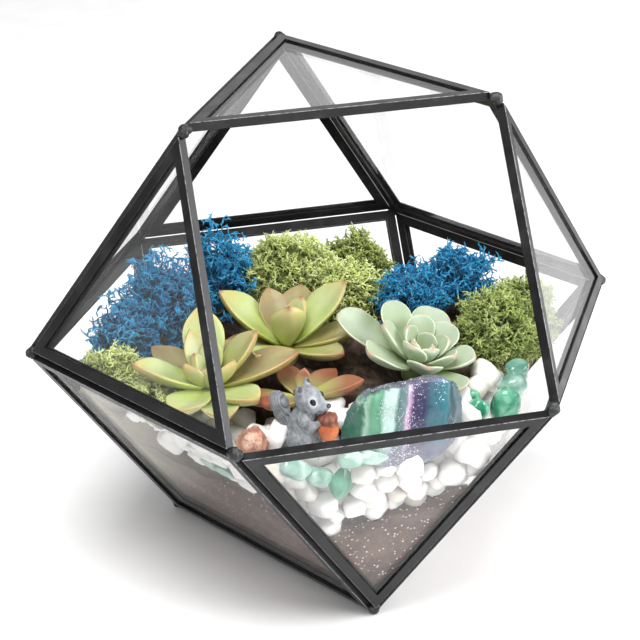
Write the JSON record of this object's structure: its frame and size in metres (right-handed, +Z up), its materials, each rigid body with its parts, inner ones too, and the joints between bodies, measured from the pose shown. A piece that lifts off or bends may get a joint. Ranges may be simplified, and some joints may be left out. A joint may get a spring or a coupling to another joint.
{
  "type": "glass plant terrarium",
  "caption": "Geometric cuboctahedral terrarium of glass panes in dark soldered metal, open at a front square, planted with succulents and reindeer moss over soil, pebbles and stones.",
  "frame": {"origin": "middle of the base triangle, on the surface that it stands on", "axes": "+Z up; -Y towards the open front square; +X to the right when seen from the front, along the open square's level edges"},
  "size_m": [0.2302, 0.2002, 0.1884],
  "materials": {
    "came": "black patina on folded metal came, satin, brighter at the arrises",
    "glass": "clear float glass",
    "solder": "black patina on rough solder beads",
    "soil": "fine mauve-brown soil with pale and golden grains",
    "planting_mix": "dark damp bark and soil mix",
    "pebble": "smooth white pebbles, polished",
    "green_stone": "tumbled blue-green aventurine, wet gloss",
    "rough_stone": "rough pink-brown rock",
    "fluorite": "polished banded fluorite: green, pink-white and violet",
    "figurine": "cast grey resin with carved fur, a dark nose and eye",
    "acorn": "cast resin, orange nut and brown-red cup",
    "gold_leaf": "living leaf, yellow-green with orange-red tips",
    "red_leaf": "living leaf, orange-red",
    "blue_green_leaf": "living leaf, pale blue-green with bloom and pink edges",
    "blue_moss": "preserved reindeer moss dyed blue",
    "lime_moss": "preserved reindeer moss, lime green",
    "olive_moss": "preserved reindeer moss, olive green"
  },
  "bodies": {
    "root": {"came_top": "came", "pane_top": "glass", "came_base": "came", "pane_base": "glass", "came_upper_left": "came", "pane_upper_left": "glass", "came_upper_right": "came", "pane_upper_right": "glass", "came_upper_back": "came", "pane_upper_back": "glass", "came_lower_front": "came", "pane_lower_front": "glass", "came_lower_right": "came", "pane_lower_right": "glass", "came_lower_left": "came", "pane_lower_left": "glass", "came_roof_right": "came", "pane_roof_right": "glass", "came_roof_left": "came", "pane_roof_left": "glass", "came_hull_back": "came", "pane_hull_back": "glass", "came_hull_left": "came", "pane_hull_left": "glass", "came_hull_right": "came", "pane_hull_right": "glass", "solder_a": "solder", "solder_b": "solder", "solder_c": "solder", "solder_d": "solder", "solder_e": "solder", "solder_f": "solder", "solder_g": "solder", "solder_h": "solder", "solder_k": "solder", "solder_i": "solder", "solder_j": "solder", "solder_l": "solder", "soil_fine": "soil", "soil_planting_mix": "planting_mix", "pebble_bed": "pebble", "green_stone_drop": "green_stone", "green_stones_front": "green_stone", "green_stone_middle": "green_stone", "green_stones_right": "green_stone", "rough_stone": "rough_stone", "fluorite": "fluorite", "squirrel": "figurine", "acorn": "acorn", "succulent_left": "gold_leaf", "succulent_centre": "gold_leaf", "succulent_red_offset": "red_leaf", "echeveria": "blue_green_leaf", "moss_blue_left": "blue_moss", "moss_blue_right": "blue_moss", "moss_lime_centre": "lime_moss", "moss_olive_back": "olive_moss", "moss_lime_right": "lime_moss", "moss_lime_left": "lime_moss"}
  },
  "joints": []
}
